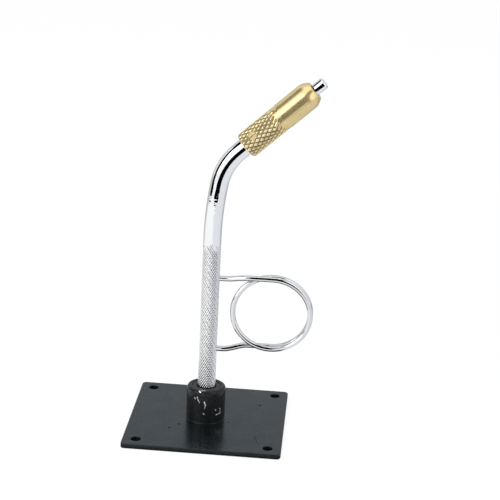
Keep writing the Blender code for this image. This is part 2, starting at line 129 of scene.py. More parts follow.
# Stem
STEM_RADIUS = 4.0 * MM
FOOT_CHAMFER = 0.6 * MM
BEND_START = 87.0 * MM
SLOW_BEND_RADIUS = 152.8 * MM
SLOW_BEND_ANGLE = math.radians(9.6)
SLOW_BEND_ROWS = 24
TIGHT_BEND_RADIUS = 25.6 * MM
TIGHT_BEND_ANGLE = math.radians(37.6)
TIGHT_BEND_ROWS = 48
BEND_ANGLE = SLOW_BEND_ANGLE + TIGHT_BEND_ANGLE
GROOVE_REAR = 5.0 * MM
GROOVE_FRONT = 11.5 * MM
GROOVE_RADIUS = 3.2 * MM
STEM_END = 18.5 * MM
STEM_BORE = 2.05 * MM
STEM_BORE_END = 12.2 * MM

# Ripples that bending left in the stem
RIPPLE_LOW = 99 * MM
RIPPLE_HIGH = 113 * MM
RIPPLE_SIZE = 2.2 * MM
RIPPLE_DEPTH = 0.12 * MM

# Knurl of the stem: two families of grooves that cross. The mesh has whole steps across a groove,
# both round the stem and along it, so that each groove is cut in the same way.
STEM_KNURL_DEPTH = 0.24 * MM
STEM_KNURL_HELIX = math.radians(32.0)
STEM_KNURL_STARTS = 24
STEM_GROOVE_STEPS = 7
STEM_GROOVE_WIDTH = 2 / STEM_GROOVE_STEPS
STEM_SIDES = STEM_KNURL_STARTS * STEM_GROOVE_STEPS
STEM_TURN_LENGTH = 2 * math.pi * STEM_RADIUS / math.tan(STEM_KNURL_HELIX)
STEM_ROW = STEM_TURN_LENGTH / STEM_SIDES
STEM_LEFT_SHALLOW = 0.75
STEM_KNURL_TOP = 84.6 * MM
STEM_KNURL_FADE = 3.0 * MM
STEM_LEFT_RUN_ON = 2.4 * MM

# Finger ring
WIRE_RADIUS = 1.25 * MM
WIRE_GAP = 0.45 * MM
RING_HALF_WIDTH = 17.3 * MM
RING_HALF_HEIGHT = 16.6 * MM
RING_TURNS = 1.5
RING_OFF_STEM = 5.1 * MM
RING_RISE = 1.7 * MM
LOWER_LEG = 35.9 * MM
UPPER_LEG = 69.1 * MM
LEG_DEPTH = 6.2 * MM
LEG_POCKET_DEPTH = 0.5 * MM
LEG_POCKET_RADIUS = 1.42 * MM
LEG_POCKET_EDGE = 0.15 * MM
LEG_SEAM = 0.08 * MM
LEG_POINTS = 60
TURN_POINTS = 300
WIRE_SIDES = 36

# Sleeve, in places along the head's axis
SLEEVE_SIDES = 266
SLEEVE_EASE = 0.12 * MM
REAR_CHAMFER = 0.6 * MM
KNURL_LENGTH = 17.0 * MM
KNURL_DEPTH = 0.4 * MM
KNURL_STARTS = 19
KNURL_PITCH = 3.5 * MM
KNURL_ROW = 0.14 * MM
GROOVE_WIDTH = 0.46
KNURL_FADE = 0.9 * MM
KNURL_RUN_ON = 2.4 * MM
RELIEF_LENGTH = 3.8 * MM
RELIEF_DEPTH = 0.15 * MM
RELIEF_SLOPE = 0.8 * MM
NOSE_TAPER_LENGTH = 4.5 * MM
NOSE_TAPER_ROWS = 26
NOSE_FACE_RADIUS = 4.1 * MM
NOSE_WALL = 5.0 * MM
SLEEVE_BORE = 4.3 * MM
PIN_SEAM = 0.15 * MM

# Stop screw
SCREW_RADIUS = 1.9 * MM
SCREW_SEAM = 0.08 * MM
SCREW_TIP_RADIUS = 1.2 * MM
SCREW_FROM_REAR = 6.0 * MM
SCREW_TURN = math.radians(24.0)
SCREW_SLOT_WIDTH = 0.55 * MM
SCREW_SLOT_DEPTH = 0.5 * MM
SCREW_TIP_GAP = 0.3 * MM
SCREW_CROWN = 0.05 * MM
SCREW_EASE = 0.15 * MM

# Jaw pin, washer and spring
PIN_RADIUS = 2.5 * MM
PIN_TIP_CHAMFER = 0.5 * MM
JOURNAL_RADIUS = 1.75 * MM
FLANGE_RADIUS = 4.0 * MM
FLANGE_REAR = 19.7 * MM
FLANGE_FRONT = 21.7 * MM
NOTCH_DEPTH = 1.9 * MM
NOTCH_MOUTH = 0.7 * MM
NOTCH_UNDERCUT = 0.4 * MM
NOTCH_EASE = 0.25 * MM
DRAW_TRAVEL = 3.5 * MM
WASHER_REAR = 18.8 * MM
WASHER_FRONT = 19.4 * MM
SPRING_WIRE = 0.8 * MM
SPRING_PITCH = 1.9 * MM
SPRING_REAR = 22.0 * MM
SPRING_FRONT = 36.9 * MM
SPRING_RADIUS = 3.4 * MM
SPRING_TURN_POINTS = 32
SPRING_SIDES = 14

# Camera, as fitted to the photograph's view, with its angles in degrees
CAMERA_AZIMUTH = 3.3323
CAMERA_ELEVATION = 17.5094
CAMERA_ROLL = 2.8041
CAMERA_DISTANCE = 620.26 * MM
CAMERA_TARGET = Vector((16.753, 0.0, 83.128)) * MM
CAMERA_LENS = 101.677
CAMERA_SENSOR = 36.0
CAMERA_NEAR = 0.01

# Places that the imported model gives
head_joint = next(joint for joint in frame["joints"] if joint["name"] == "head_spin")
head_place = Vector(head_joint["pos_m"])
head = Matrix.Translation(head_place) @ Matrix.Rotation(BEND_ANGLE, 4, "Y")
plate_low, plate_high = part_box("base_plate")
_, collar_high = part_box("socket_collar")
bush_low, bush_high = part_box("socket_bush")
stem_low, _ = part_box("stem")
plate_middle = (plate_low + plate_high) / 2
plate_top = plate_high.z
collar_radius = collar_high.x
bush_bore = STEM_RADIUS + 2 * SOCKET_SEAM
bush_radius = bush_bore + BUSH_WALL
bush_middle = (bush_low.z + bush_high.z) / 2


def reach_along_head(node):
    """Lowest and highest place of a node along the head's axis, and its largest radius there."""
    local = head.inverted()
    points = np.array([local @ vert.co for vert in frame["nodes"][node].data.vertices])
    radius = np.hypot(points[:, 0], points[:, 1]).max()
    return points[:, 2].min(), points[:, 2].max(), radius


sleeve_rear, nose_face, sleeve_radius = reach_along_head("jaw_sleeve")
pin_rear, pin_tip, _ = reach_along_head("jaw_pin")
knurl_end = sleeve_rear + KNURL_LENGTH
relief_end = knurl_end + RELIEF_LENGTH
nose_start = nose_face - NOSE_TAPER_LENGTH
nose_shoulder = nose_face - NOSE_WALL
screw_place = sleeve_rear + SCREW_FROM_REAR


# Meshes

def smooth_step(share):
    share = np.clip(share, 0.0, 1.0)
    return share * share * (3 - 2 * share)


def round_angles(count):
    """Angles that share out a full turn."""
    return np.linspace(0.0, 2 * math.pi, count, endpoint=False)


def eased(profile, radius, closed=False, steps=5):
    """Profile with its corners rounded, and a short straight beside each round."""
    points = [Vector(point) for point in profile]
    count = len(points)
    result = []
    for place, corner in enumerate(points):
        if not closed and place in (0, count - 1):
            result.append(corner)
            continue
        before = points[place - 1] - corner
        after = points[(place + 1) % count] - corner
        size = min(radius, EASE_REACH * before.length, EASE_REACH * after.length)
        start = before.normalized() * size
        end = after.normalized() * size
        result.append(corner + start * EASE_LEAD)
        for step in range(steps + 1):
            share = step / steps
            result.append(corner + start * (1 - share) ** 2 + end * share ** 2)
        result.append(corner + end * EASE_LEAD)
    return [tuple(point) for point in result]


def turned_rings(profile, sides):
    """Rings of points round the Z axis, one for each (radius, height) of a profile."""
    angles = round_angles(sides)
    radius, height = np.array(profile).T
    x = radius[:, None] * np.cos(angles)
    y = radius[:, None] * np.sin(angles)
    z = np.repeat(height[:, None], sides, axis=1)
    return np.stack([x, y, z], axis=2)


def settle(mesh, sharp_angle=SHARP_ANGLE, weld=0.0):
    """Turns all faces outwards and shades them smooth, apart from sharp edges."""
    body = bmesh.new()
    body.from_mesh(mesh)
    if weld:
        bmesh.ops.remove_doubles(body, verts=body.verts, dist=weld)
    bmesh.ops.recalc_face_normals(body, faces=body.faces)
    body.to_mesh(mesh)
    body.free()
    mesh.shade_smooth()
    mesh.set_sharp_from_angle(angle=math.radians(sharp_angle))
    return mesh


def skin(name, rings, closed=False, grooves=None, sharp_angle=SHARP_ANGLE):
    """Mesh over rings of points, capped at both ends or joined from the last ring to the first.

    The grooves are a share from 0 to 1 for each point, kept as an attribute for the materials.
    """
    rows, sides, _ = rings.shape
    index = np.arange(rows * sides).reshape(rows, sides)
    near = index if closed else index[:-1]
    far = np.roll(index, -1, axis=0) if closed else index[1:]
    quads = np.stack([near, np.roll(near, -1, axis=1), np.roll(far, -1, axis=1), far], axis=2)
    faces = quads.reshape(-1, 4).tolist()
    if not closed:
        faces += [index[0, ::-1].tolist(), index[-1].tolist()]
    mesh = bpy.data.meshes.new(name)
    mesh.from_pydata(rings.reshape(-1, 3).tolist(), [], faces)
    if grooves is not None:
        layer = mesh.attributes.new("groove", "FLOAT", "POINT")
        layer.data.foreach_set("value", grooves.astype(np.float32).ravel())
    return settle(mesh, sharp_angle)


def turned(name, profile, sides):
    """Ring with a closed profile, round the Z axis."""
    return skin(name, turned_rings(eased(profile, EDGE_EASE, closed=True), sides), closed=True)


def tube(name, path, radius, sides):
    """Round wire along a row of points, with eased ends."""
    along = np.gradient(path, axis=0)
    along /= np.linalg.norm(along, axis=1)[:, None]
    side = np.cross(along[0], (0.0, 0.0, 1.0))
    angles = round_angles(sides)
    rings = []
    for centre, direction in zip(path, along):
        side = side - direction * side.dot(direction)
        side /= np.linalg.norm(side)
        other = np.cross(direction, side)
        ring = np.cos(angles)[:, None] * side + np.sin(angles)[:, None] * other
        rings.append(centre + radius * ring)
    rings = np.array(rings)
    for end, inward in ((0, 1), (-1, -1)):
        lip = path[end] + (rings[end] - path[end]) * (1 - WIRE_END_EASE)
        rings[end] = rings[end] + inward * along[end] * WIRE_END_EASE * radius
        rings = np.insert(rings, 0 if end == 0 else len(rings), lip, axis=0)
    return skin(name, rings)


def add_object(name, mesh, place=None):
    item = bpy.data.objects.new(name, mesh)
    bpy.context.scene.collection.objects.link(item)
    if place is not None:
        item.matrix_world = place
    return item


def bar(name, radius, length, place):
    """Round bar along the Z axis of a place, from its origin."""
    mesh = skin(name, turned_rings([(radius, 0.0), (radius, length)], BAR_SIDES))
    mesh.transform(place)
    return mesh


def baked(item):
    """Mesh of an object as it is drawn. The object is then taken away."""
    graph = bpy.context.evaluated_depsgraph_get()
    mesh = bpy.data.meshes.new_from_object(item.evaluated_get(graph), depsgraph=graph)
    bpy.data.objects.remove(item, do_unlink=True)
    return mesh


def cut(mesh, cutter_mesh, sharp_angle=SHARP_ANGLE):
    """Mesh with the cutter's shape taken out of it, under the same name."""
    name = mesh.name
    piece = add_object("cut_piece", mesh)
    cutter = add_object("cutter", cutter_mesh)
    boolean = piece.modifiers.new("cut", "BOOLEAN")
    boolean.operation = "DIFFERENCE"
    boolean.solver = "EXACT"
    boolean.object = cutter
    result = baked(piece)
    bpy.data.objects.remove(cutter, do_unlink=True)
    for spent in (mesh, cutter_mesh):
        bpy.data.meshes.remove(spent)
    result.name = name
    body = bmesh.new()
    body.from_mesh(result)
    bmesh.ops.remove_doubles(body, verts=body.verts, dist=CUT_WELD)
    bmesh.ops.dissolve_degenerate(body, dist=CUT_WELD, edges=body.edges)
    spare = [vert for vert in body.verts if len(vert.link_edges) == 2]
    bmesh.ops.dissolve_verts(body, verts=spare)
    body.to_mesh(result)
    body.free()
    result.shade_smooth()
    result.set_sharp_from_angle(angle=math.radians(sharp_angle))
    return result


def dress(mesh, node, body, material, place=None):
    """Adds a piece named as its mesh, which stands for a node and rides on its body."""
    mesh.materials.clear()
    mesh.materials.append(material)
    piece = add_object(mesh.name, mesh, place)
    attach(piece, body)
    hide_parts(node)
    return piece


# Materials

PLATE_PAINT = {
    "low": (0.004, 0.005, 0.006), "high": (0.010, 0.012, 0.0135),
    "index": 1.41, "sheen": 0.66, "gloss": 0.24,
}
COLLAR_PAINT = {
    "low": (0.01, 0.0105, 0.011), "high": (0.02, 0.0205, 0.0215),
    "index": 1.26, "sheen": 0.62, "gloss": 0.16,
}
PAINT_TINT = (0.84, 0.94, 1.0, 1.0)
PAINT_PEEL = 0.004 * MM
PIT_DEPTH = 0.05 * MM
PIT_COLOUR = (0.001, 0.001, 0.001)
DUST_COLOUR = (0.05, 0.052, 0.054)
# Bright metal on the collar's paint lumps: painted glints
GLINT_METAL_COLOUR = (0.83, 0.84, 0.85)
CHROME_LOW = Vector((0.80, 0.815, 0.84))
CHROME_HIGH = Vector((0.87, 0.88, 0.895))
# Dark colour in the stem knurl's grooves: painted shade
KNURL_SHADE_COLOUR = (0.02, 0.02, 0.021)
RING_TONE = 0.84
SLEEVE_BRASS = {"low": (0.665, 0.52, 0.25), "high": (0.775, 0.615, 0.31), "rough": 0.22}
SCREW_BRASS = {"low": (0.42, 0.33, 0.16), "high": (0.56, 0.45, 0.23), "rough": 0.45}
# Pale cream on the knurl's lands: painted highlight
LAND_HIGHLIGHT_COLOUR = (0.97, 0.89, 0.66)
TARNISH_COLOUR = (0.05, 0.034, 0.01)
WASHER_BRONZE = {
    "low": (0.46, 0.30, 0.14), "high": (0.58, 0.41, 0.21),
    "rough": 0.32, "grain": (900.0, 300.0, 900.0),
}
SPRING_STEEL = {
    "low": (0.36, 0.36, 0.37), "high": (0.5, 0.5, 0.51),
    "rough": 0.28, "grain": (600.0, 600.0, 2400.0),
}
NYLON_LOW = (0.008, 0.008, 0.0085)
NYLON_HIGH = (0.016, 0.016, 0.017)
WHITE = (1.0, 1.0, 1.0)
BLACK = (0.0, 0.0, 0.0)


class Nodes:
    """Shader nodes of a material or a world."""

    def __init__(self, owner):
        owner.use_nodes = True
        self.nodes = owner.node_tree.nodes
        self.links = owner.node_tree.links

    def node(self, kind, inputs=(), **settings):
        made = self.nodes.new("ShaderNode" + kind)
        for name, value in settings.items():
            setattr(made, name, value)
        for name, value in dict(inputs).items():
            socket = made.inputs[name]
            if isinstance(value, bpy.types.NodeSocket):
                self.links.new(value, socket)
            else:
                socket.default_value = value
        return made

    def range(self, value, low, high, to_low=0.0, to_high=1.0, smooth=False):
        """Value led from one range to another, and held at its ends. A range may also fall."""
        made = self.node(
            "MapRange",
            {"Value": value, "From Min": low, "From Max": high, "To Min": to_low, "To Max": to_high},
            interpolation_type="SMOOTHSTEP" if smooth else "LINEAR",
        )
        return made.outputs["Result"]

    def spread(self, pattern, low=0.0, high=1.0):
        """Cloudy pattern whose usual range is stretched to run from low to high."""
        return self.range(pattern, 0.3, 0.7, low, high)

    def maths(self, operation, first, second=0.0):
        return self.node("Math", {0: first, 1: second}, operation=operation).outputs["Value"]

    def plus(self, first, second):
        return self.maths("ADD", first, second)

    def times(self, first, second):
        return self.maths("MULTIPLY", first, second)

    def most(self, first, second):
        return self.maths("MAXIMUM", first, second)

    def between(self, share, first, second):
        """Number between two numbers or sources of numbers."""
        return self.node("Mix", {0: share, 2: first, 3: second}).outputs[0]

    def mix(self, share, first, second):
        """Colour between two colours or colour sources."""
        inputs = {0: share, 6: first, 7: second}
        for socket in (6, 7):
            if not isinstance(inputs[socket], bpy.types.NodeSocket):
                inputs[socket] = (*inputs[socket], 1.0)
        return self.node("Mix", inputs, data_type="RGBA").outputs[2]

    def ray(self, *kinds):
        """1 for rays of any of these kinds, 0 for others."""
        path = self.node("LightPath")
        total = path.outputs[f"Is {kinds[0]} Ray"]
        for kind in kinds[1:]:
            total = self.most(total, path.outputs[f"Is {kind} Ray"])
        return total


class Finish(Nodes):
    """A material whose Principled shader is fed by a few nodes."""

    def __init__(self, name):
        self.material = bpy.data.materials.new(name)
        super().__init__(self.material)
        self.shader = self.nodes["Principled BSDF"]
        self.place = self.node("TexCoord").outputs["Object"]

    def set(self, **values):
        """Values that are the same all over the surface."""
        for name, value in values.items():
            self.shader.inputs[name.replace("_", " ")].default_value = value

    def feed(self, name, source):
        self.links.new(source, self.shader.inputs[name])

    def done(self, colour, rough, normal):
        """The material, with these fed to its shader."""
        self.feed("Base Color", colour)
        self.feed("Roughness", rough)
        self.feed("Normal", normal)
        return self.material

    def stretched(self, scale, turn=(0.0, 0.0, 0.0)):
        """The piece's own coordinates, turned and then stretched along each axis."""
        made = self.node("Mapping", {"Vector": self.place, "Rotation": turn, "Scale": scale})
        return made.outputs["Vector"]

    def noise(self, size, detail=3.0, roughness=0.5, vector=None):
        """Cloudy pattern from 0 to 1 whose features are about a size across."""
        inputs = {
            "Vector": vector or self.place,
            "Scale": 1.0 / size,
            "Detail": detail,
            "Roughness": roughness,
        }
        return self.node("TexNoise", inputs).outputs["Fac"]

    def groove(self):
        return self.node("Attribute", attribute_name="groove").outputs["Fac"]

    def level(self):
        """Height along the piece's own Z axis."""
        return self.node("SeparateXYZ", {"Vector": self.place}).outputs["Z"]

    def scratches(self, spacing, length, turn):
        """Thin lines, 1 on a scratch and 0 elsewhere."""
        vector = self.stretched((1.0 / spacing, 1.0 / length, 1.0 / spacing), turn)
        lines = self.noise(1.0, 2.0, vector=vector)
        middle = self.maths("ABSOLUTE", self.plus(lines, -0.5))
        return self.range(middle, 0.012, 0.0)

    def specks(self, spacing, radius):
        """Small round spots, 1 in a spot and 0 elsewhere."""
        made = self.node("TexVoronoi", {"Vector": self.place, "Scale": 1.0 / spacing})
        return self.range(made.outputs["Distance"], radius / spacing, 0.4 * radius / spacing)

    def spot(self, centre, radius):
        """1 near a place of the piece, 0 further than a radius from it."""
        distance = self.node("VectorMath", {0: self.place, 1: centre}, operation="DISTANCE")
        return self.range(distance.outputs["Value"], radius, 0.5 * radius)

    def line(self, start, end, width):
        """1 along a line across the XY plane, 0 beside it and beyond its ends."""
        step = end - start
        turn = -math.atan2(step.y, step.x)
        middle = Matrix.Rotation(turn, 2) @ (start + end) / 2
        inputs = {"Vector": self.place, "Location": (*-middle, 0.0), "Rotation": (0.0, 0.0, turn)}
        axes = self.node("SeparateXYZ", {"Vector": self.node("Mapping", inputs).outputs["Vector"]})
        along = self.maths("ABSOLUTE", axes.outputs["X"])
        across = self.maths("ABSOLUTE", axes.outputs["Y"])
        inside = self.range(along, 0.5 * step.length, 0.35 * step.length)
        return self.times(inside, self.range(across, width, 0.3 * width))

    def bump(self, height, depth, before=None):
        """Normals for a height from 0 to 1 that stands for a depth in metres."""
        inputs = {"Height": height, "Strength": 1.0, "Distance": depth}
        if before is not None:
            inputs["Normal"] = before
        return self.node("Bump", inputs).outputs["Normal"]


def black_paint(name, low, high, index, sheen, gloss, lump_glints=False, marked=False):
    """Black paint on steel: orange peel, dust, pits and a few scratches.

    It can have bright metal on its lumps, which stands in for their glints (painted glints), or have
    the plate's pits and scratch. Where it is thin or pitted it shows dark metal.
    """
    finish = Finish(name)
    finish.set(IOR=index, Specular_IOR_Level=sheen, Specular_Tint=PAINT_TINT)
    clouds = finish.spread(finish.noise(9 * MM, 4.0, 0.6))
    grain = finish.spread(finish.noise(1.3 * MM, 5.0, 0.7))
    thin = finish.between(0.58, clouds, grain)
    colour = finish.mix(thin, high, low)
    dust = finish.specks(5.5 * MM, 0.16 * MM)
    pits = finish.specks(4.1 * MM, 0.2 * MM)
    if marked:
        for x, y, radius in PLATE_PITS:
            pits = finish.most(pits, finish.spot((x * MM, y * MM, plate_top / 2), radius * MM))
        ends = [Vector(end) * MM for end in PLATE_SCRATCH]
        pits = finish.most(pits, finish.times(finish.line(*ends, SCRATCH_WIDTH), 0.7))
    scratch = finish.scratches(2.3 * MM, 60 * MM, (0.0, 0.0, 0.35))
    colour = finish.mix(finish.times(dust, 0.5), colour, DUST_COLOUR)
    colour = finish.mix(pits, colour, PIT_COLOUR)
    metal = finish.most(pits, finish.times(thin, 0.35))
    # Bright metal on the paint lumps, broken up by noise: painted glints that stand in for glints of
    # the lumpy paint
    if lump_glints:
        glint_metal = finish.range(finish.groove(), 0.45, 0.8, smooth=True)
        broken = finish.range(finish.noise(1.1 * MM, 3.0, 0.6), 0.42, 0.56, smooth=True)
        glint_metal = finish.times(glint_metal, broken)
        colour = finish.mix(glint_metal, colour, GLINT_METAL_COLOUR)
        metal = finish.most(metal, glint_metal)
    finish.feed("Metallic", metal)
    rough = finish.spread(finish.noise(2.2 * MM, 5.0, 0.65), gloss - 0.05, gloss + 0.07)
    rough = finish.plus(rough, finish.times(pits, 0.3))
    rough = finish.plus(rough, finish.times(scratch, -0.06))
    normal = finish.bump(finish.noise(0.9 * MM, 2.0), PAINT_PEEL)
    normal = finish.bump(pits, -PIT_DEPTH, normal)
    return finish.done(colour, rough, normal)


def chrome(name, rough, tone=1.0, knurled=False):
    """Bright plating with faint wiping marks. The knurled bar is also darkened in its grooves, a
    painted shade, and has ripples where its bend begins.
    """
    finish = Finish(name)
    finish.set(Metallic=1.0)
    colour = finish.mix(finish.noise(14 * MM, 4.0, 0.6), CHROME_LOW * tone, CHROME_HIGH * tone)
    wipes = finish.noise(1.0, 3.0, 0.6, finish.stretched((2500.0, 2500.0, 160.0), (0.3, 0.2, 0.0)))
    marks = finish.range(wipes, 0.35, 0.75, rough, rough + 0.04)
    normal = finish.bump(wipes, 0.0006 * MM)
    if knurled:
        # Painted shade in the knurl's grooves
        deep = finish.range(finish.groove(), 0.4, 0.95, smooth=True)
        knurl_shade = finish.times(deep, finish.range(finish.noise(3 * MM), 0.3, 0.6, 0.7, 0.95))
        colour = finish.mix(knurl_shade, colour, KNURL_SHADE_COLOUR)
        marks = finish.plus(marks, finish.times(knurl_shade, 0.25))
        start = finish.range(finish.level(), RIPPLE_LOW, RIPPLE_HIGH)
        zone = finish.times(finish.range(start, 0.0, 0.4), finish.range(start, 1.0, 0.6))
        ripples = finish.times(zone, finish.noise(RIPPLE_SIZE, 2.0, 0.5))
        normal = finish.bump(ripples, RIPPLE_DEPTH, normal)
    return finish.done(colour, marks, normal)


def brass(name, low, high, rough, knurl_top=None):
    """Turned brass: fine lathe rings round the axis, fingered patches and darker grooves.

    The rings spread reflections along the axis, and leave them sharper across it. Below the top of
    a knurl, the lands between its grooves are painted paler: a painted highlight.
    """
    finish = Finish(name)
    finish.set(Metallic=0.7, Anisotropic=0.5, Anisotropic_Rotation=0.25)
    finish.feed("Tangent", finish.node("Tangent", direction_type="RADIAL", axis="Z").outputs["Tangent"])
    colour = finish.mix(finish.spread(finish.noise(5 * MM, 5.0, 0.62)), low, high)
    deep = finish.range(finish.groove(), 0.65, 1.0, smooth=True)
    rings = finish.noise(1.0, 3.0, 0.7, finish.stretched((40.0, 40.0, 5200.0)))
    marks = finish.spread(finish.noise(2.5 * MM, 4.0, 0.6), rough - 0.03, rough + 0.05)
    marks = finish.plus(marks, finish.spread(rings, -0.03, 0.03))
    marks = finish.plus(marks, finish.times(deep, 0.12))
    # Paler lands on the knurl: painted highlight
    if knurl_top is not None:
        knurled = finish.range(finish.level(), knurl_top + KNURL_FADE, knurl_top - KNURL_FADE)
        lands = finish.times(knurled, finish.range(finish.groove(), 0.5, 0.0))
        colour = finish.mix(lands, colour, LAND_HIGHLIGHT_COLOUR)
        marks = finish.plus(marks, finish.times(knurled, 0.1))
    colour = finish.mix(finish.times(deep, 0.8), colour, TARNISH_COLOUR)
    return finish.done(colour, marks, finish.bump(rings, 0.0022 * MM))


def plain_metal(name, low, high, rough, grain):
    """Drawn or stamped metal with streaks along a grain, given as a stretch of each axis."""
    finish = Finish(name)
    finish.set(Metallic=1.0)
    streaks = finish.noise(1.0, 4.0, 0.6, finish.stretched(grain))
    colour = finish.mix(finish.noise(3 * MM, 4.0), low, high)
    marks = finish.spread(streaks, rough - 0.06, rough + 0.08)
    return finish.done(colour, marks, finish.bump(streaks, 0.003 * MM))


def nylon():
    """Matt black nylon, with turning marks round the bore."""
    finish = Finish("bush_nylon")
    finish.set(IOR=1.35)
    clouds = finish.noise(1.4 * MM, 4.0, 0.6)
    colour = finish.mix(clouds, NYLON_LOW, NYLON_HIGH)
    marks = finish.spread(clouds, 0.3, 0.42)
    rings = finish.noise(1.0, 2.0, 0.6, finish.stretched((250.0, 250.0, 6000.0)))
    return finish.done(colour, marks, finish.bump(rings, 0.012 * MM))


# Pieces

def plate_outline(half):
    """Square with round corners, anticlockwise."""
    points = []
    for quarter in range(4):
        turn = Matrix.Rotation(quarter * math.pi / 2, 2)
        for angle in np.linspace(0.0, math.pi / 2, PLATE_CORNER_POINTS):
            corner = Vector((math.cos(angle), math.sin(angle))) * PLATE_CORNER
            inner = half - PLATE_CORNER
            points.append(turn @ (corner + Vector((inner, inner))))
    return points


def make_base_plate():
    half = (plate_high.y - plate_low.y) / 2
    outline = bpy.data.curves.new("base_plate_outline", "CURVE")
    outline.dimensions = "2D"
    outline.fill_mode = "BOTH"
    outline.bevel_depth = PLATE_EDGE_ROUND
    outline.bevel_resolution = PLATE_EDGE_STEPS
    outline.offset = -PLATE_EDGE_ROUND
    outline.extrude = plate_top / 2 - PLATE_EDGE_ROUND
    reach = half - PLATE_HOLE_INSET
    holes = [(Vector((x, y)), PLATE_HOLE_RADIUS) for x in (-reach, reach) for y in (-reach, reach)]
    holes.append((Vector((-plate_middle.x, 0.0)), SPIGOT_RADIUS + SPIGOT_SEAM))
    loops = [plate_outline(half)]
    for centre, radius in holes:
        angles = round_angles(PLATE_HOLE_POINTS)
        loops.append([centre + Vector((math.cos(a), math.sin(a))) * radius for a in angles])
    for loop in loops:
        spline = outline.splines.new("POLY")
        spline.points.add(len(loop) - 1)
        spline.use_cyclic_u = True
        for knot, point in zip(spline.points, loop):
            knot.co = (point.x, point.y, 0.0, 1.0)
    mesh = baked(add_object("base_plate_outline", outline))
    mesh.name = "base_plate_painted"
    settle(mesh, weld=OUTLINE_WELD)
    finish = black_paint("plate_paint", **PLATE_PAINT, marked=True)
    place = Matrix.Translation(plate_middle)
    plate = dress(mesh, "base_plate", "base", finish, place)
    weighted = plate.modifiers.new("flat_faces", "WEIGHTED_NORMAL")
    weighted.weight = 100
    weighted.keep_sharp = True


def paint_run_height(angle, level):
    """Height of the lumps in the paint at places round the collar, as an array."""
    height = np.zeros_like(level)
    arc = collar_radius * math.radians(1.0)
    for run in PAINT_RUNS:
        for start, end in zip(run, run[1:]):
            first = np.array((start[0] * arc, start[1] * MM))
            step = np.array((end[0] * arc, end[1] * MM)) - first
            across = (angle - start[0] + 180.0) % 360.0 - 180.0
            offset = np.stack([across * arc, level - first[1]], axis=-1)
            share = np.clip(offset @ step / step.dot(step), 0.0, 1.0)
            distance = np.linalg.norm(offset - share[..., None] * step, axis=-1)
            height = np.maximum(height, np.exp(-((distance / PAINT_RUN_WIDTH) ** 2)))
    return height * PAINT_RUN_HEIGHT


def make_socket_collar():
    top = collar_high.z
    rim = collar_radius - COLLAR_TOP_ROUND
    shoulder = top - COLLAR_TOP_ROUND
    bore = bush_radius + SOCKET_SEAM
    foot = plate_top + COLLAR_FOOT_FLARE
    outside = [(SPIGOT_RADIUS, 0.0), (SPIGOT_RADIUS, plate_top)]
    outside.append((collar_radius + COLLAR_FOOT_FLARE, plate_top))
    wall = [(collar_radius, z) for z in np.arange(foot, shoulder, COLLAR_ROW)]
    arc = [
        (rim + COLLAR_TOP_ROUND * math.cos(a), shoulder + COLLAR_TOP_ROUND * math.sin(a))
        for a in np.linspace(0.0, math.pi / 2, COLLAR_TOP_ROWS)
    ]
    face = [(r, top) for r in np.linspace(rim, bore + COLLAR_ROW, COLLAR_FACE_ROWS)[1:]]
    groove = bush_radius + SNAP_RIB_HEIGHT + SOCKET_SEAM
    groove_half = SNAP_RIB_WIDTH / 2 + SOCKET_SEAM
    inside = eased([
        (bore + COLLAR_ROW, top),
        (bore, top),
        (bore, bush_middle + groove_half),
        (groove, bush_middle + groove_half),
        (groove, bush_middle - groove_half),
        (bore, bush_middle - groove_half),
        (bore, plate_top + SOCKET_FLOOR_ABOVE_PLATE),
    ], COLLAR_BORE_EASE)[1:]
    rings = turned_rings(outside + wall + arc + face + inside, COLLAR_SIDES)
    painted = slice(len(outside), len(outside) + len(wall) + len(arc) + len(face))
    skin_points = rings[painted]
    outward = skin_points - np.array((0.0, 0.0, shoulder))
    outward[..., 2] = np.maximum(outward[..., 2], 0.0)
    flat = skin_points[..., :2]
    inner = flat / np.linalg.norm(flat, axis=-1)[..., None] * rim
    outward[..., :2] -= np.where(outward[..., 2:] > 0, inner, 0.0)
    outward /= np.linalg.norm(outward, axis=-1)[..., None]
    angle = np.degrees(np.arctan2(skin_points[..., 0], -skin_points[..., 1]))
    section = skin_points[:, 0]
    lengths = np.linalg.norm(np.diff(section, axis=0), axis=1)
    levels = section[0, 2] + np.concatenate([[0.0], np.cumsum(lengths)])
    lumps = paint_run_height(angle, np.broadcast_to(levels[:, None], angle.shape))
    wrinkles = np.array([
        [noise.fractal(Vector(point) / PAINT_WRINKLE_SIZE, 1.0, 2.0, 3) for point in ring]
        for ring in skin_points
    ])
    rings[painted] += outward * (lumps + PAINT_WRINKLE * wrinkles)[..., None]
    shares = np.zeros(rings.shape[:2])
    shares[painted] = lumps / PAINT_RUN_HEIGHT
    mesh = skin("socket_collar_painted", rings, grooves=shares, sharp_angle=PAINT_SHARP_ANGLE)
    # The collar's paint lumps carry painted glints
    finish = black_paint("collar_paint", **COLLAR_PAINT, lump_glints=True)
    dress(mesh, "socket_collar", "base", finish)


def make_socket_bush():
    foot, top = bush_low.z, bush_high.z
    rib_low = bush_middle - SNAP_RIB_WIDTH / 2
    rib_high = bush_middle + SNAP_RIB_WIDTH / 2
    rib = bush_radius + SNAP_RIB_HEIGHT
    profile = [
        (bush_bore, foot),
        (bush_radius, foot),
        (bush_radius, rib_low),
        (rib, rib_low),
        (rib, rib_high),
        (bush_radius, rib_high),
        (bush_radius, top),
        (bush_bore + BUSH_LEAD_IN, top),
        (bush_bore, top - BUSH_LEAD_IN),
    ]
    mesh = turned("socket_bush_moulded", profile, BUSH_SIDES)
    dress(mesh, "socket_bush", "bush", nylon())


def groove_share(phase, width, depth):
    """Share of the depth at places across V grooves, which narrow where they are shallow.

    The phase counts grooves, and has a whole number in the middle of each.
    """
    return np.clip(depth - np.abs(phase - np.round(phase)) / width, 0.0, 1.0)


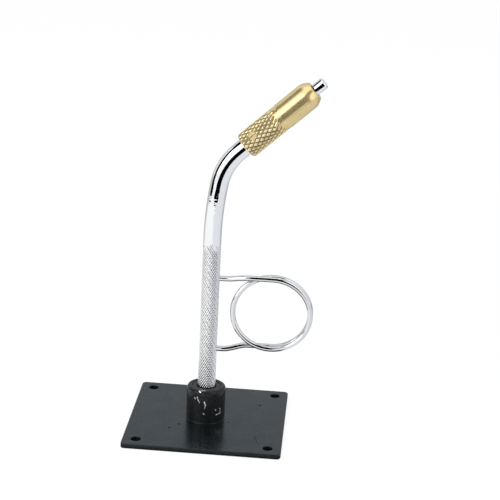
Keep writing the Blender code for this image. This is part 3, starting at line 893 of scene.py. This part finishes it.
def stem_grooves(angle, level):
    """Share of the knurl's depth at places of the stem."""
    round_share = angle / (2 * math.pi)
    climb = (level - stem_low.z - FOOT_CHAMFER) / STEM_TURN_LENGTH
    right = STEM_KNURL_STARTS * (round_share - climb)
    left = STEM_KNURL_STARTS * (round_share + climb)
    right_depth = smooth_step((STEM_KNURL_TOP - level) / STEM_KNURL_FADE)
    left_top = STEM_KNURL_TOP + STEM_LEFT_RUN_ON
    left_depth = smooth_step((left_top - level) / STEM_KNURL_FADE)
    left_depth = left_depth * np.where(np.round(left) % 2 == 0, 1.0, STEM_LEFT_SHALLOW)
    return np.maximum(
        groove_share(right, STEM_GROOVE_WIDTH, right_depth),
        groove_share(left, STEM_GROOVE_WIDTH, left_depth),
    )


def bend_points(lean):
    """Places on the stem's bent centre line where it leans by given angles."""
    slow = np.minimum(lean, SLOW_BEND_ANGLE)
    tight = np.maximum(lean, SLOW_BEND_ANGLE)
    x = SLOW_BEND_RADIUS * (1 - np.cos(slow))
    x = x + TIGHT_BEND_RADIUS * (math.cos(SLOW_BEND_ANGLE) - np.cos(tight))
    z = BEND_START + SLOW_BEND_RADIUS * np.sin(slow)
    z = z + TIGHT_BEND_RADIUS * (np.sin(tight) - math.sin(SLOW_BEND_ANGLE))
    return np.stack([x, 0 * x, z], axis=1)


def make_stem():
    foot = stem_low.z
    levels = np.arange(foot + FOOT_CHAMFER, BEND_START, STEM_ROW)
    slow = np.linspace(0.0, SLOW_BEND_ANGLE, SLOW_BEND_ROWS, endpoint=False)
    tight = np.linspace(SLOW_BEND_ANGLE, BEND_ANGLE, TIGHT_BEND_ROWS)
    end = eased([
        (STEM_RADIUS, GROOVE_REAR),
        (GROOVE_RADIUS, GROOVE_REAR),
        (GROOVE_RADIUS, GROOVE_FRONT),
        (STEM_RADIUS, GROOVE_FRONT),
        (STEM_RADIUS, STEM_END),
        (STEM_BORE, STEM_END),
        (STEM_BORE, STEM_BORE_END),
    ], EDGE_EASE, steps=2)
    direction = np.array(head.to_3x3() @ Vector((0.0, 0.0, 1.0)))
    upright = [(0.0, 0.0, level) for level in (foot, *levels)]
    centres = np.concatenate([
        upright,
        bend_points(np.concatenate([slow, tight])),
        np.array(head_place) + np.array([place for _, place in end])[:, None] * direction,
    ])
    leans = np.concatenate([np.zeros(len(upright)), slow, tight, np.full(len(end), BEND_ANGLE)])
    radii = np.full(len(centres), STEM_RADIUS)
    radii[0] -= FOOT_CHAMFER
    radii[-len(end):] = [radius for radius, _ in end]
    angles = round_angles(STEM_SIDES)
    grooves = stem_grooves(angles[None, :], centres[:, 2:3])
    grooves[0] = 0.0
    grooves[leans > SLOW_BEND_ANGLE] = 0.0
    across = np.where(np.cos(angles) < 0, np.inf, np.abs(STEM_RADIUS * np.sin(angles)))
    sunk = np.zeros_like(grooves)
    for leg in (LOWER_LEG, UPPER_LEG):
        distance = np.hypot(across[None, :], centres[:, 2:3] - leg)
        sunk = np.maximum(sunk, smooth_step((LEG_POCKET_RADIUS - distance) / LEG_POCKET_EDGE))
    depth = np.maximum(STEM_KNURL_DEPTH * grooves, LEG_POCKET_DEPTH * sunk)
    radius = radii[:, None] - depth
    side = np.stack([np.cos(leans), 0 * leans, -np.sin(leans)], axis=1)
    rings = centres[:, None, :] + (radius * np.cos(angles))[..., None] * side[:, None, :]
    rings[..., 1] += radius * np.sin(angles)
    shares = np.maximum(grooves, sunk)
    mesh = skin("stem_knurled", rings, grooves=shares, sharp_angle=KNURL_SHARP_ANGLE)
    for leg in (LOWER_LEG, UPPER_LEG):
        hole_end = Matrix.Translation((STEM_RADIUS - LEG_DEPTH - LEG_SEAM, 0.0, leg))
        hole_end = hole_end @ Matrix.Rotation(math.pi / 2, 4, "Y")
        hole = bar("leg_hole", WIRE_RADIUS + LEG_SEAM, 2 * LEG_DEPTH, hole_end)
        mesh = cut(mesh, hole, KNURL_SHARP_ANGLE)
    dress(mesh, "stem", "stem", chrome("stem_chrome", rough=0.03, knurled=True))


def ring_path():
    """Centre line of the finger ring: upper leg, turns that step back along +Y, lower leg."""
    pitch = 2 * WIRE_RADIUS + WIRE_GAP
    half_depth = RING_TURNS * pitch / 2
    centre_x = STEM_RADIUS + RING_OFF_STEM + WIRE_RADIUS + RING_HALF_WIDTH
    centre_z = (LOWER_LEG + UPPER_LEG) / 2 + RING_RISE
    leg_end = STEM_RADIUS - LEG_DEPTH
    straight_end = STEM_RADIUS + 2 * WIRE_RADIUS
    dropped = 1 - pitch / RING_HALF_HEIGHT
    swing_start = centre_x - RING_HALF_WIDTH * math.sqrt(1 - dropped * dropped)
    x = np.linspace(leg_end, centre_x, LEG_POINTS, endpoint=False)
    swing = smooth_step((x - straight_end) / (swing_start - straight_end))
    upper = np.stack([x, -half_depth * swing, UPPER_LEG + RING_RISE * swing], axis=1)
    lower = np.stack([x, half_depth * swing, LOWER_LEG + RING_RISE * swing], axis=1)
    share = np.linspace(0.0, 1.0, TURN_POINTS)
    angle = 2 * math.pi * RING_TURNS * share
    turns = np.stack([
        centre_x + RING_HALF_WIDTH * np.sin(angle),
        half_depth * (2 * share - 1),
        centre_z + RING_HALF_HEIGHT * np.cos(angle),
    ], axis=1)
    return np.concatenate([upper, turns, lower[::-1]])


def make_finger_ring():
    mesh = tube("finger_ring_wire", ring_path(), WIRE_RADIUS, WIRE_SIDES)
    finish = chrome("ring_chrome", rough=0.02, tone=RING_TONE)
    dress(mesh, "finger_ring", "stem", finish)


def sleeve_grooves(angle, place):
    """Share of the knurl's depth at places of the sleeve. One family of grooves runs on further."""
    round_share = KNURL_STARTS * angle / (2 * math.pi)
    along = place / KNURL_PITCH
    fade = smooth_step((knurl_end - place) / KNURL_FADE)
    run_on = smooth_step((knurl_end + KNURL_RUN_ON - place) / (KNURL_RUN_ON - KNURL_FADE))
    falling = groove_share(round_share + along, GROOVE_WIDTH, run_on)
    climbing = groove_share(round_share - along, GROOVE_WIDTH, fade)
    return smooth_step(np.maximum(falling, climbing))


def make_jaw_sleeve():
    relief_radius = sleeve_radius - RELIEF_DEPTH
    pin_bore = PIN_RADIUS + PIN_SEAM
    rear = eased([
        (SLEEVE_BORE, sleeve_rear + REAR_CHAMFER),
        (SLEEVE_BORE, sleeve_rear),
        (sleeve_radius - REAR_CHAMFER, sleeve_rear),
        (sleeve_radius, sleeve_rear + REAR_CHAMFER),
        (sleeve_radius, sleeve_rear + 2 * REAR_CHAMFER),
    ], SLEEVE_EASE)
    knurl_rows = np.arange(rear[-1][1] + KNURL_ROW, knurl_end + KNURL_RUN_ON, KNURL_ROW)
    narrow = RELIEF_DEPTH * smooth_step((knurl_rows - knurl_end + KNURL_FADE) / KNURL_RUN_ON)
    knurl = list(zip(sleeve_radius - narrow, knurl_rows))
    front = eased([
        (relief_radius, knurl_rows[-1] + KNURL_ROW),
        (relief_radius, relief_end - RELIEF_SLOPE),
        (sleeve_radius, relief_end),
        (sleeve_radius, nose_start),
    ], SLEEVE_EASE)
    taper = [
        (sleeve_radius - (sleeve_radius - NOSE_FACE_RADIUS) * share * share,
         nose_start + NOSE_TAPER_LENGTH * share)
        for share in np.linspace(0.0, 1.0, NOSE_TAPER_ROWS)[1:-1]
    ]
    face = eased([
        taper[-1],
        (NOSE_FACE_RADIUS, nose_face),
        (pin_bore, nose_face),
        (pin_bore, nose_shoulder),
        (SLEEVE_BORE, nose_shoulder),
        (SLEEVE_BORE, relief_end),
    ], EDGE_EASE)[1:]
    profile = np.array(rear + knurl + front + taper + face)
    rings = turned_rings(profile, SLEEVE_SIDES)
    angles = round_angles(SLEEVE_SIDES)
    radii, places = profile[:, :1], profile[:, 1:]
    outside = radii > relief_radius - KNURL_DEPTH
    start = smooth_step((places - sleeve_rear) / REAR_CHAMFER)
    grooves = sleeve_grooves(angles[None, :], places) * outside * start
    scale = 1 - KNURL_DEPTH * grooves / np.maximum(radii, KNURL_DEPTH)
    rings[..., :2] *= scale[..., None]
    mesh = skin("jaw_sleeve_turned", rings, closed=True, grooves=grooves)
    mesh = cut(mesh, bar("screw_hole", SCREW_RADIUS + SCREW_SEAM, 2 * sleeve_radius, screw_frame()))
    finish = brass("sleeve_brass", **SLEEVE_BRASS, knurl_top=knurl_end)
    dress(mesh, "jaw_sleeve", "sleeve", finish, head)


def screw_frame():
    """Place of the stop screw in the head, with Z pointing out of the sleeve."""
    turn = Matrix.Rotation(-SCREW_TURN, 4, "Z") @ Matrix.Rotation(math.pi / 2, 4, "X")
    return Matrix.Translation((0.0, 0.0, screw_place)) @ turn


def make_stop_screw():
    tip = GROOVE_RADIUS + SCREW_TIP_GAP
    rim = sleeve_radius - KNURL_DEPTH
    crown = rim + SCREW_CROWN
    profile = eased([
        (CAP_SHARE * SCREW_TIP_RADIUS, tip),
        (SCREW_TIP_RADIUS, tip),
        (SCREW_TIP_RADIUS, SLEEVE_BORE),
        (SCREW_RADIUS, SLEEVE_BORE),
        (SCREW_RADIUS, rim),
        (CAP_SHARE * SCREW_RADIUS, crown),
    ], SCREW_EASE)
    mesh = skin("stop_screw_slotted", turned_rings(profile, BAR_SIDES))
    x, y = SCREW_SLOT_WIDTH / 2, 2 * SCREW_RADIUS
    corners = ((-x, -y), (x, -y), (x, y), (-x, y))
    levels = (crown - SCREW_SLOT_DEPTH, crown + SCREW_SLOT_DEPTH)
    slot = np.array([[(*corner, z) for corner in corners] for z in levels])
    mesh = cut(mesh, skin("screw_slot", slot))
    finish = brass("screw_brass", **SCREW_BRASS)
    dress(mesh, "stop_screw", "sleeve", finish, head @ screw_frame())


def make_jaw_pin():
    profile = eased([
        (CAP_SHARE * JOURNAL_RADIUS, pin_rear),
        (JOURNAL_RADIUS, pin_rear),
        (JOURNAL_RADIUS, FLANGE_REAR),
        (FLANGE_RADIUS, FLANGE_REAR),
        (FLANGE_RADIUS, FLANGE_FRONT),
        (PIN_RADIUS, FLANGE_FRONT),
        (PIN_RADIUS, pin_tip - PIN_TIP_CHAMFER),
        (PIN_RADIUS - PIN_TIP_CHAMFER, pin_tip),
        (CAP_SHARE * PIN_RADIUS, pin_tip),
    ], EDGE_EASE)
    mesh = skin("jaw_pin_notched", turned_rings(profile, TURNED_SIDES))
    floor = NOTCH_DEPTH - PIN_RADIUS
    outside = -2 * PIN_RADIUS
    front = nose_face + NOTCH_MOUTH
    rear = nose_face - DRAW_TRAVEL
    outline = eased([
        (outside, rear - NOTCH_DEPTH),
        (floor, rear),
        (floor, front),
        (outside, front - NOTCH_UNDERCUT),
    ], NOTCH_EASE, closed=True)
    depth = 2 * PIN_RADIUS
    rings = np.array([[(x, y, z) for x, z in outline] for y in (-depth, depth)])
    mesh = cut(mesh, skin("notch", rings))
    dress(mesh, "jaw_pin", "spindle", chrome("pin_chrome", rough=0.04), head)


def make_thrust_washer():
    bore = JOURNAL_RADIUS + 2 * SOCKET_SEAM
    profile = [
        (bore, WASHER_REAR),
        (STEM_RADIUS, WASHER_REAR),
        (STEM_RADIUS, WASHER_FRONT),
        (bore, WASHER_FRONT),
    ]
    mesh = turned("thrust_washer_stamped", profile, TURNED_SIDES)
    finish = plain_metal("washer_bronze", **WASHER_BRONZE)
    dress(mesh, "thrust_washer", "spindle", finish, head)


def make_return_spring():
    start = SPRING_REAR + SPRING_WIRE / 2
    end = SPRING_FRONT - SPRING_WIRE / 2
    close_pitch = SPRING_WIRE + WIRE_GAP
    open_turns = (end - start - 2 * close_pitch) / SPRING_PITCH
    turn = np.linspace(0.0, open_turns + 2, round((open_turns + 2) * SPRING_TURN_POINTS))
    knots = (0.0, 1.0, open_turns + 1, open_turns + 2)
    height = np.interp(turn, knots, (start, start + close_pitch, end - close_pitch, end))
    angle = 2 * math.pi * turn
    path = np.stack([SPRING_RADIUS * np.cos(angle), SPRING_RADIUS * np.sin(angle), height], axis=1)
    mesh = tube("return_spring_wound", path, SPRING_WIRE / 2, SPRING_SIDES)
    finish = plain_metal("spring_steel", **SPRING_STEEL)
    spring = dress(mesh, "return_spring", "spindle", finish, head)
    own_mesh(spring)


# Floor, light and camera

FLOOR_HALF_SIZE = 4.0
FLOOR_DROP = 0.1 * MM
FLOOR_GLOW = 0.82
FLOOR_WHITE = (1.03, 1.03, 1.03)
# What metal sees in the floor: a painted pool of light on the left, painted shade to the right and
# behind, and a painted shadow beside the plate
FLOOR_LIT_LEFT = (1.1, 1.1, 1.08)
FLOOR_SHADED_RIGHT = (0.84, 0.855, 0.90)
FLOOR_CHANGE = (-20 * MM, 90 * MM)
FLOOR_SHADED_BEHIND = 0.45
FLOOR_BEHIND_REACH = 0.25
FLOOR_SHADE = 10 * MM
ROOM_FRONT = (1.05, 1.05, 1.04)
ROOM_BEHIND = (0.62, 0.66, 0.70)
ROOM_FILL = 0.85
KEY_RADIANCE = 2.35
TOP_RADIANCE = 2.6
ROOM_MIDDLE = Vector((0.0, 0.0, 105.0)) * MM

# Dark openings of the white room: the plane of each, and its corners in that plane, in mm
NEAR_Y = -80
NEAR_OPENING = (
    (-51, 86), (30, 77), (36, 100), (52, 123), (94, 80), (104, 86),
    (66, 150), (72, 190), (100, 228), (130, 275), (175, 340), (95, 345),
    (70, 278), (50, 244), (37, 218), (22, 186), (4, 165), (-16, 127), (-48, 93),
)
FAR_Y = -340
FAR_OPENING = ((-18, 0), (208, 0), (208, 1300), (-18, 1300))
LEFT_X = -295
LEFT_OPENING = ((60, 60), (-170, 56), (-105, 90), (-105, 700), (165, 700), (165, 338), (60, 328))

# White cards that light the taper of the nose, in the same way
NOSE_GLOW = 1.5
NOSE_FRONT_Y = -40
NOSE_FRONT = ((28, 168), (38, 186), (42, 196), (52, 213), (62, 238), (72, 262), (0, 262), (0, 200))
NOSE_TOP_Z = 262
NOSE_TOP = ((72, -40), (80, 15), (-5, 15), (0, -40))
NOSE_RIGHT_Y = -82
NOSE_RIGHT = ((82, 144), (240, 118), (240, 290), (150, 290), (112, 228), (84, 190))


def make_world():
    """White room for the camera. Metal sees it duller at the back, which draws its edges."""
    world = bpy.data.worlds.new("white_room")
    bpy.context.scene.world = world
    tree = Nodes(world)
    direction = tree.node("SeparateXYZ", {"Vector": tree.node("TexCoord").outputs["Generated"]})
    reflected = tree.mix(tree.range(direction.outputs["Y"], 0.0, 0.85), ROOM_FRONT, ROOM_BEHIND)
    colour = tree.mix(tree.ray("Glossy"), WHITE, reflected)
    strength = tree.between(tree.ray("Camera", "Glossy", "Transmission"), ROOM_FILL, 1.0)
    tree.links.new(colour, tree.nodes["Background"].inputs["Color"])
    tree.links.new(strength, tree.nodes["Background"].inputs["Strength"])


def sheet(name, points, material):
    """Flat face between points."""
    mesh = bpy.data.meshes.new(name)
    mesh.from_pydata(points, [], [range(len(points))])
    mesh.materials.append(material)
    return add_object(name, mesh)


def make_floor():
    """White floor that glows for the camera, so that only a soft shadow shows on it.

    Metal sees a painted pool of light on it at the left, near the key light, painted shade to the
    right and behind, and a painted shadow beside the plate. Below the plate a painted shadow keeps it
    dark.
    """
    finish = Finish("floor_white")
    mottle = finish.noise(0.4, 2.0)
    white = finish.mix(mottle, (0.90, 0.90, 0.90), (0.92, 0.92, 0.92))
    finish.set(Roughness=0.9, IOR=1.02)
    axes = finish.node("SeparateXYZ", {"Vector": finish.place})
    x, y = axes.outputs["X"], axes.outputs["Y"]
    # Painted shadow: black below the plate for all rays, and for metal a dark band that fades out
    # beside it
    aside = finish.maths("ABSOLUTE", finish.plus(x, -plate_middle.x))
    under = plate_high.y - 2 * PLATE_EDGE_ROUND
    away = finish.most(aside, finish.maths("ABSOLUTE", y))
    shade = finish.range(away, under, under + FLOOR_SHADE, smooth=True)
    clear = finish.between(finish.ray("Glossy"), finish.maths("GREATER_THAN", away, under), shade)
    finish.feed("Base Color", finish.mix(finish.most(clear, 0.1), BLACK, white))
    # Painted light and shade that metal sees in the floor: brighter on the left, duller to the right
    # and behind
    reflected = finish.mix(finish.range(x, *FLOOR_CHANGE, smooth=True), FLOOR_LIT_LEFT, FLOOR_SHADED_RIGHT)
    colour = finish.mix(finish.ray("Glossy"), FLOOR_WHITE, reflected)
    shade_behind = finish.range(y, 0.0, FLOOR_BEHIND_REACH, 1.0, FLOOR_SHADED_BEHIND, smooth=True)
    strength = finish.between(finish.ray("Glossy"), 1.0, shade_behind)
    glow = finish.node("Emission", {"Color": colour, "Strength": strength})
    seen = finish.ray("Camera", "Glossy", "Transmission")
    share = finish.times(finish.times(seen, FLOOR_GLOW), clear)
    shaders = {0: share, 1: finish.shader.outputs["BSDF"], 2: glow.outputs["Emission"]}
    blend = finish.node("MixShader", shaders)
    finish.links.new(blend.outputs["Shader"], finish.nodes["Material Output"].inputs["Surface"])
    corners = [Vector((x, y, 0)) * FLOOR_HALF_SIZE for x, y in ((-1, -1), (1, -1), (1, 1), (-1, 1))]
    floor = sheet("floor", corners, finish.material)
    floor.location.z = -FLOOR_DROP


def towards(azimuth, elevation):
    """Direction from the object: azimuth 0 is to the front, 90 to the right, in degrees."""
    a, e = math.radians(azimuth), math.radians(elevation)
    return Vector((math.sin(a) * math.cos(e), -math.cos(a) * math.cos(e), math.sin(e)))


def card(name, points, glow=0.0):
    """Dark or white card in the room, seen only in metal and paint. Its corners are in mm."""
    finish = Finish(name)
    finish.feed("Base Color", finish.mix(finish.noise(0.2), BLACK, (0.004, 0.004, 0.004)))
    finish.set(Roughness=1.0, IOR=1.0, Emission_Color=(*ROOM_FRONT, 1.0), Emission_Strength=glow)
    item = sheet(name, [Vector(point) * MM for point in points], finish.material)
    for ray in ("camera", "diffuse", "transmission", "volume_scatter", "shadow"):
        setattr(item, "visible_" + ray, False)


def soft_light(name, direction, distance, size, radiance):
    """Rectangle of even light that faces the middle of the room."""
    lamp = bpy.data.lights.new(name, "AREA")
    lamp.shape = "RECTANGLE"
    lamp.size, lamp.size_y = size
    lamp.energy = radiance * math.pi * lamp.size * lamp.size_y
    item = add_object(name, lamp)
    item.location = ROOM_MIDDLE + direction * distance
    item.rotation_euler = direction.to_track_quat("Z", "Y").to_euler()
    item.visible_camera = False
    return item


def make_room():
    make_world()
    make_floor()
    card("near_opening", [(x, NEAR_Y, z) for x, z in NEAR_OPENING])
    card("far_opening", [(x, FAR_Y, z) for x, z in FAR_OPENING])
    card("left_opening", [(LEFT_X, y, z) for y, z in LEFT_OPENING])
    card("nose_front", [(x, NOSE_FRONT_Y, z) for x, z in NOSE_FRONT], NOSE_GLOW)
    card("nose_top", [(x, y, NOSE_TOP_Z) for x, y in NOSE_TOP], NOSE_GLOW)
    card("nose_right", [(x, NOSE_RIGHT_Y, z) for x, z in NOSE_RIGHT], NOSE_GLOW)
    soft_light("key_light", towards(-46, 19), distance=0.9, size=(0.7, 0.5), radiance=KEY_RADIANCE)
    top = soft_light("top_light", towards(60, 75), distance=1.0, size=(0.6, 0.6), radiance=TOP_RADIANCE)
    top.visible_glossy = False


def make_camera():
    back = towards(CAMERA_AZIMUTH, CAMERA_ELEVATION)
    right = towards(CAMERA_AZIMUTH + 90, 0)
    upright = Matrix((right, back.cross(right), back)).transposed().to_4x4()
    lens = bpy.data.cameras.new("camera")
    lens.lens = CAMERA_LENS
    lens.sensor_width = CAMERA_SENSOR
    lens.clip_start = CAMERA_NEAR
    camera = add_object("camera", lens)
    turn = upright @ Matrix.Rotation(math.radians(CAMERA_ROLL), 4, "Z")
    camera.matrix_world = Matrix.Translation(CAMERA_TARGET + back * CAMERA_DISTANCE) @ turn
    bpy.context.scene.camera = camera


make_camera()
make_base_plate()
make_socket_collar()
make_socket_bush()
make_stem()
make_finger_ring()
make_jaw_pin()
make_thrust_washer()
make_return_spring()
make_jaw_sleeve()
make_stop_screw()
make_room()
bpy.context.scene.view_settings.view_transform = "Standard"
